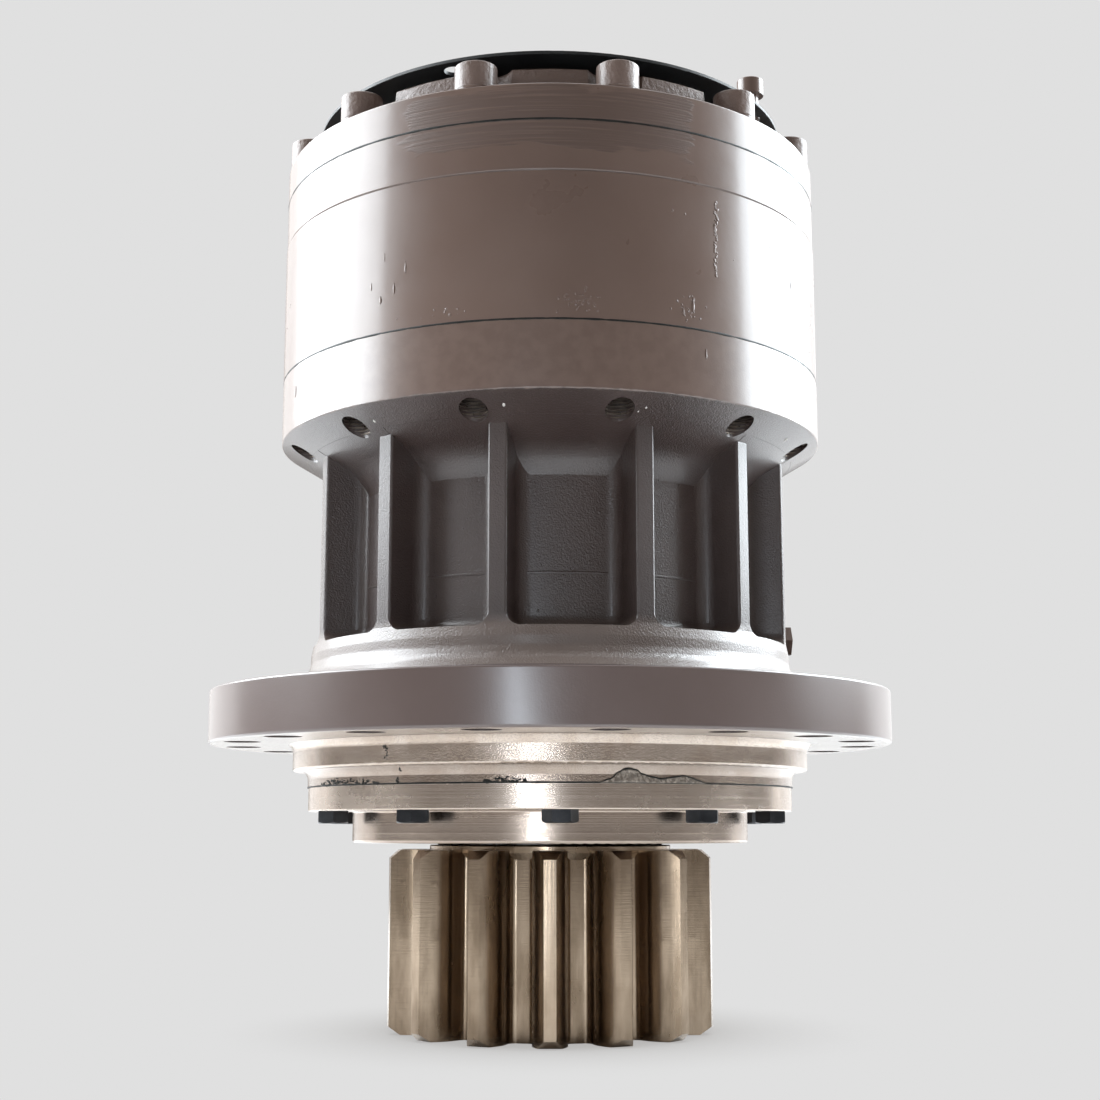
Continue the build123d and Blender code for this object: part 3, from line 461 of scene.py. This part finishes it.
# ---------------------------------------------------------------- lumps, runs and smears
class Lumps:
    """Closed, low mounds that sit on round faces, gathered into one mesh."""

    def __init__(self):
        self.v, self.f = [], []

    def add(self, R, phi, z, w, h, rise, seed=0, tail=0.0, rough=0.22, n=14, rings=4):
        """w wide and h high in mm; tail > 0 draws the upper end out into a point."""
        r = random.Random(seed)
        ph = [r.uniform(0, 6.28) for _ in range(4)]
        base = len(self.v)
        rad = R if callable(R) else (lambda zz: R)

        def put(dx, dz, dr):
            zz = z + dz
            rr = rad(zz)
            self.v.append((*pos(rr + dr, phi + math.degrees(dx / rr)), zz * MM))

        put(0, -h * tail * 0.25, rise)
        for i in range(1, rings + 1):
            t = i / rings
            for j in range(n):
                a = 2 * math.pi * j / n
                k = 1 + rough * (0.6 * math.sin(2 * a + ph[0]) + 0.5 * math.sin(3 * a + ph[1]) + 0.4 * math.sin(5 * a + ph[2]))
                dx, dz = w / 2 * t * k * math.cos(a), h / 2 * t * k * math.sin(a)
                if tail and dz > 0:
                    dx *= 1 - tail * dz / (h / 2 * 1.1)
                put(dx, dz, rise * math.sqrt(max(0.0, 1 - t * t)) - (0.12 if i == rings else 0.0))
        put(0, 0, -0.3)
        for j in range(n):
            q = (j + 1) % n
            self.f.append((base, base + 1 + j, base + 1 + q))
            for i in range(rings - 1):
                a, b = base + 1 + i * n, base + 1 + (i + 1) * n
                self.f.append((a + j, b + j, b + q, a + q))
            last = base + 1 + (rings - 1) * n
            self.f.append((last + j, base + 1 + rings * n, last + q))

    def make(self, name, material, **kw):
        return mesh(name, self.v, self.f, material, **kw)


def drum_r(z):
    return 164.55 if z > 303.2 else 165.0


# runs in the drum's paint, dried drips and dirt under the paint
runs = Lumps()
for i, (phi, z, w, h, rise) in enumerate(
    (
        (-34.4, 238.0, 1.7, 5.5, 0.42), (-31.2, 243.0, 1.5, 7.0, 0.38), (-28.6, 254.0, 1.2, 8.5, 0.26),
        (-33.6, 262.0, 1.1, 6.0, 0.2), (-36.8, 247.0, 1.3, 5.0, 0.26), (28.2, 232.5, 2.0, 9.0, 0.4),
        (26.0, 228.0, 1.4, 5.0, 0.3), (58.0, 262.0, 1.6, 9.0, 0.34), (104.0, 246.0, 1.8, 11.0, 0.4),
        (-96.0, 258.0, 1.6, 10.0, 0.36), (160.0, 251.0, 1.7, 12.0, 0.4), (-150.0, 240.0, 1.5, 8.0, 0.34),
        (31.0, 206.0, 1.4, 7.0, 0.3), (-64.0, 203.0, 1.5, 8.0, 0.32),
    )
):
    runs.add(drum_r, phi, z, w, h, rise, seed=100 + i, tail=0.75, rough=0.12)
for i in range(34):
    z = 294.0 - i * 1.28 + rng.uniform(-0.5, 0.5)
    runs.add(drum_r, 33.9 - i * 0.012 + rng.uniform(-0.35, 0.35), z, rng.uniform(0.8, 2.3), rng.uniform(1.0, 3.0), rng.uniform(0.12, 0.34), seed=200 + i)
for cx, cz, sx, sz, n in ((5.6, 230.0, 4.2, 6.0, 46), (27.5, 229.0, 3.2, 7.0, 30), (-20.0, 226.0, 9.0, 4.0, 12), (100.0, 280.0, 60.0, 14.0, 60), (-120.0, 250.0, 50.0, 24.0, 60), (180.0, 300.0, 45.0, 24.0, 40)):
    for i in range(n):
        phi, z = cx + rng.gauss(0, sx / 2), cz + rng.gauss(0, sz / 2)
        if 221.5 < z < 328.5:
            d = rng.uniform(0.5, 1.7)
            runs.add(drum_r, phi, z, d, d * rng.uniform(0.7, 1.5), rng.uniform(0.08, 0.2), seed=300 + i, n=10, rings=3)
runs.make("paint_runs", M_DRUM, slot="drum_paint")

# sealant pressed out of the lower seam
smear = Lumps()
for c, half, top, n in ((-52.0, 12.5, 4.0, 110), (-9.5, 4.6, 3.4, 60), (150.0, 9.0, 3.0, 50), (95.0, 6.0, 2.6, 30)):
    for i in range(n):
        t = rng.uniform(-1, 1)
        rise = top * (1 - t * t) ** 0.5
        z = -24.8 + abs(rng.gauss(0, 0.42)) * rise
        if z > -25.2 + top:
            continue
        w = rng.uniform(0.8, 2.6)
        smear.add(foot_r, c + half * t, z, w, w * rng.uniform(0.35, 0.8), rng.uniform(0.12, 0.4), seed=500 + i, n=10, rings=3, rough=0.4)
for phi, z0, z1 in ((-34.9, -5.2, -6.6), (-34.5, -6.8, -12.4), (-33.4, -16.9, -18.4), (-34.2, -22.0, -24.6)):
    for i in range(7):
        t = i / 6
        smear.add(foot_r, phi + rng.uniform(-0.35, 0.35), z0 + (z1 - z0) * t, rng.uniform(0.7, 1.8), rng.uniform(0.8, 1.6), rng.uniform(0.1, 0.25), seed=620 + i, n=9, rings=3, rough=0.4)
smear.make("sealant_smears", M_SEALANT, slot="seal_rubber")


def sealant_hump():
    """A thin skin of sealant squeezed up over the foot, with a dark rolled edge."""
    knots = [(10.4, -24.9), (12.6, -23.2), (14.4, -19.6), (15.4, -18.1), (16.8, -17.8), (18.4, -18.7), (19.4, -20.6), (21.4, -22.0), (23.9, -23.0), (26.4, -22.2), (28.2, -21.4), (29.6, -21.2), (31.2, -22.1), (33.0, -23.6), (35.0, -24.9)]
    n, m = 90, 7
    w = wave(77, 7, 200)
    verts, faces, edge = [], [], []
    for i in range(n + 1):
        phi = knots[0][0] + (knots[-1][0] - knots[0][0]) * i / n
        k = max(j for j in range(len(knots) - 1) if knots[j][0] <= phi + 1e-9)
        t = (phi - knots[k][0]) / (knots[k + 1][0] - knots[k][0])
        t = t * t * (3 - 2 * t) * 0.6 + t * 0.4
        top = knots[k][1] + (knots[k + 1][1] - knots[k][1]) * t + 0.18 * w(phi)
        top = max(top, -24.9)
        edge.append((phi, top))
        for j in range(m):
            z = -25.1 + (top + 25.1) * j / (m - 1)
            lift = 0.34 + 0.16 * math.sin(phi * 5.1 + j) + 0.14 * w(phi * 3)
            verts.append((*pos(foot_r(z) + lift, phi), z * MM))
        for j in range(m):
            z = -25.1 + (top + 25.1) * j / (m - 1)
            verts.append((*pos(foot_r(z) - 0.25, phi), z * MM))
    q = 2 * m
    for i in range(n):
        a, b = i * q, (i + 1) * q
        for j in range(m - 1):
            faces.append((a + j, b + j, b + j + 1, a + j + 1))
            faces.append((a + m + j, a + m + j + 1, b + m + j + 1, b + m + j))
        faces.append((a + m - 1, b + m - 1, b + q - 1, a + q - 1))
        faces.append((a, a + m, b + m, b))
    for a, flip in ((0, False), (n * q, True)):
        for j in range(m - 1):
            f = (a + j, a + j + 1, a + m + j + 1, a + m + j)
            faces.append(f[::-1] if flip else f)
    mesh("sealant_skin", verts, faces, M_FILM, slot="seal_rubber")
    verts, faces, s = [], [], 6
    for i, (phi, z) in enumerate(edge):
        rr = foot_r(z) + 0.3
        k = 0.42 * (1 + 0.4 * w(phi * 2)) * min(1.0, 0.4 + min(i, n - i) / 8)
        for j in range(s):
            a = 2 * math.pi * j / s
            verts.append((*pos(rr + k * math.cos(a), phi), (z + k * math.sin(a)) * MM))
    for i in range(n):
        for j in range(s):
            a, b = i * s + j, i * s + (j + 1) % s
            faces.append((a, a + s, b + s, b))
    faces.append(tuple(range(s)))
    faces.append(tuple(n * s + j for j in reversed(range(s))))
    mesh("sealant_edge", verts, faces, M_SEALANT, slot="seal_rubber")


sealant_hump()

# pale specks of dry sealant on the cove, beside the screw holes
specks = Lumps()


def cone_r(z):
    return 143.0 + (z - 167.9) * 22.0 / 13.3


for i, (phi, z, w) in enumerate(((-9.2, 174.8, 1.7), (19.6, 174.9, 1.1), (18.3, 173.2, 0.9), (-39.5, 174.0, 1.5), (63.0, 174.6, 1.6), (110.0, 174.2, 1.5), (-104.0, 173.8, 1.6), (168.0, 174.6, 1.5))):
    specks.add(cone_r, phi, z, w, w * 0.9, 0.5, seed=900 + i, n=10, rings=3)
specks.make("pale_specks", M_PALE, slot="seal_rubber")

# mould parting line round the barrel, seen between the ribs
pw = wave(31, 8, 60)
ring_tube(
    "mould_parting_line", 480, 8, lambda phi: (118.95, 89.4 + 0.25 * pw(phi)),
    lambda phi, t: (0.38 * math.cos(2 * math.pi * t) * (1 + 0.5 * pw(phi * 2)), 0.75 * math.sin(2 * math.pi * t)),
    M_CAST, slot="cast_paint",
)

# grains of moulding sand and paint lumps burnt on to the cast faces
grit = Lumps()
for i in range(260):
    phi, z = rng.uniform(-180, 180), rng.uniform(66, 146)
    d = rng.uniform(0.5, 1.6)
    grit.add(119.0, phi, z, d, d * rng.uniform(0.7, 1.4), rng.uniform(0.12, 0.4), seed=700 + i, n=9, rings=3, rough=0.3)
grit.make("cast_grit", M_CAST, slot="cast_paint")


# ---------------------------------------------------------------- threads in the drum screws' holes
def cove_z(r):
    """Height in mm of the casting's slope at radius r mm."""
    return 167.9 + (r - 143.0) * 13.3 / 22.0 + (0.2 if r < 148.0 else 0.0)


def threads():
    """Thread turns in the long screws' holes, only where the hole has a wall."""
    verts, faces = [], []
    pitch, r_wall, r_crest, top, per, turns = 2.0, 8.03, 6.95, 187.6, 28, 10
    n = turns * per
    for k in range(12):
        phi = 14.3 + 30 * k
        cx, cy = 152.0 * math.sin(math.radians(phi)), -152.0 * math.cos(math.radians(phi))

        def room(i):
            a = 2 * math.pi * i / per
            r = math.hypot(cx + 8 * math.cos(a), cy + 8 * math.sin(a))
            return top - pitch * i / per - 1.1 - cove_z(r)

        stretches, start = [], None
        for i in range(n + 2):
            ok = i <= n and room(i) > 0
            if ok and start is None:
                start = i
            if not ok and start is not None:
                if i - start > 4:
                    stretches.append((start, i - 1))
                start = None
        for lo, hi in stretches:
            base = len(verts)
            for i in range(lo, hi + 1):
                a = 2 * math.pi * i / per
                z = top - pitch * i / per
                f = min(1.0, (i - lo) / 4 + 0.05, (hi - i) / 4 + 0.05)
                rc = r_wall + (r_crest - r_wall) * f
                hw = 0.86 * (0.3 + 0.7 * f)
                for r, dz in ((r_wall + 0.15, hw), (rc, 0.13), (rc, -0.13), (r_wall + 0.15, -hw)):
                    verts.append(((cx + r * math.cos(a)) * MM, (cy + r * math.sin(a)) * MM, (z + dz) * MM))
            for i in range(hi - lo):
                for j in range(4):
                    p, q = base + i * 4 + j, base + i * 4 + (j + 1) % 4
                    faces.append((p, q, q + 4, p + 4))
            faces.append(tuple(base + j for j in (3, 2, 1, 0)))
            faces.append(tuple(base + (hi - lo) * 4 + j for j in range(4)))
    return mesh("screw_hole_threads", verts, faces, M_THREAD, slot="turned_steel", smooth=False)


threads()


# ---------------------------------------------------------------- floor
def make_floor():
    n, R = 96, 3.2
    verts, faces = [(0, 0, 0)], []
    rings = [0.2, 0.5, 0.9, 1.4, 2.0, R]
    for rr in rings:
        for i in range(n):
            a = 2 * math.pi * i / n
            verts.append((rr * math.cos(a), rr * math.sin(a), 0))
    for i in range(n):
        faces.append((0, 1 + i, 1 + (i + 1) % n))
    for k in range(len(rings) - 1):
        for i in range(n):
            a, b = 1 + k * n + i, 1 + k * n + (i + 1) % n
            faces.append((a, a + n, b + n, b))
    me = bpy.data.meshes.new("floor")
    me.from_pydata(verts, [], faces)
    o = bpy.data.objects.new("floor", me)
    scene.collection.objects.link(o)
    o.location.z = cad_lo.z - 0.0003
    g = Graph("floor_pale")
    d = g.radius()
    tone = g.noise(3.0, 2, 0.5)
    c = g.mixc(g.step(tone, 0.3, 0.7), srgb(226, 226, 226), srgb(229, 229, 229))
    g.set(Base_Color=c, Roughness=0.75, Specular_IOR_Level=0.2)
    # seen directly, it is an even pale sweep with a soft contact shadow
    ao = g.n("AmbientOcclusion", samples=6)
    ao.inputs["Distance"].default_value = 0.11
    seen = g.n("Emission")
    g.put(seen, 0, g.mixc(g.step(ao.outputs["AO"], 0.25, 1.0, smooth=False), (0.46, 0.45, 0.44), (0.745, 0.745, 0.745)))
    path = g.n("LightPath")
    pick = g.n("MixShader")
    g.put(pick, 0, path.outputs["Is Camera Ray"])
    g.t.links.new(g.bsdf.outputs[0], pick.inputs[1])
    g.t.links.new(seen.outputs[0], pick.inputs[2])
    clear = g.n("BsdfTransparent")
    mix = g.n("MixShader")
    # from underneath it isn't there, so that it never veils the object
    below = g.math("MULTIPLY", g.n("NewGeometry").outputs["Backfacing"], path.outputs["Is Camera Ray"])
    g.put(mix, 0, g.math("MAXIMUM", g.step(d, 0.75, 2.6), below))
    g.t.links.new(pick.outputs[0], mix.inputs[1])
    g.t.links.new(clear.outputs[0], mix.inputs[2])
    g.t.links.new(mix.outputs[0], g.out.inputs[0])
    me.materials.append(g.mat)


make_floor()

# ---------------------------------------------------------------- light
world = bpy.data.worlds.new("world")
scene.world = world
world.use_nodes = True
wt = world.node_tree
wt.nodes.clear()
wo = wt.nodes.new("ShaderNodeOutputWorld")
w_seen = wt.nodes.new("ShaderNodeBackground")
w_seen.inputs[0].default_value = (0.745, 0.745, 0.745, 1)
w_seen.inputs[1].default_value = 1.0
w_fill = wt.nodes.new("ShaderNodeBackground")
w_fill.inputs[0].default_value = (1.0, 0.86, 0.77, 1)
w_fill.inputs[1].default_value = 0.22
lp = wt.nodes.new("ShaderNodeLightPath")
wm = wt.nodes.new("ShaderNodeMixShader")
wt.links.new(lp.outputs["Is Camera Ray"], wm.inputs[0])
wt.links.new(w_fill.outputs[0], wm.inputs[1])
wt.links.new(w_seen.outputs[0], wm.inputs[2])
wt.links.new(wm.outputs[0], wo.inputs[0])


def area(name, loc, target, size, power, colour=(1, 1, 1), spread=180):
    d = bpy.data.lights.new(name, "AREA")
    d.shape = "RECTANGLE"
    d.size, d.size_y = size
    d.energy = power
    d.color = colour
    d.spread = math.radians(spread)
    o = bpy.data.objects.new(name, d)
    scene.collection.objects.link(o)
    o.location = loc
    o.rotation_euler = (Vector(target) - Vector(loc)).to_track_quat("-Z", "Y").to_euler()
    return o


area("soft_left", (-1.0, 0.98, 0.3), (0, 0, 0.1), (1.0, 1.5), 6.5, (0.97, 0.99, 1.0))
area("soft_right", (0.9, 1.07, 0.3), (0, 0, 0.1), (1.0, 1.5), 6.5, (0.95, 0.98, 1.0))
area("soft_top", (0.0, 0.2, 1.6), (0, 0, 0.2), (1.6, 1.6), 14)
area("window_left", (-1.4, 0.2, 0.96), (0, 0, 0.2), (1.6, 1.38), 84, (0.90, 0.96, 1.0))
area("window_right", (1.42, 0.45, 0.93), (0, 0, 0.2), (1.4, 1.4), 86, (0.87, 0.95, 1.0))
strip = area("strip_front", (-0.172, -1.25, 0.015), (-0.172, 0.0, 0.015), (0.06, 0.36), 2.6, (0.82, 0.91, 1.0))
strip.rotation_euler.rotate_axis("Z", math.radians(28.4))
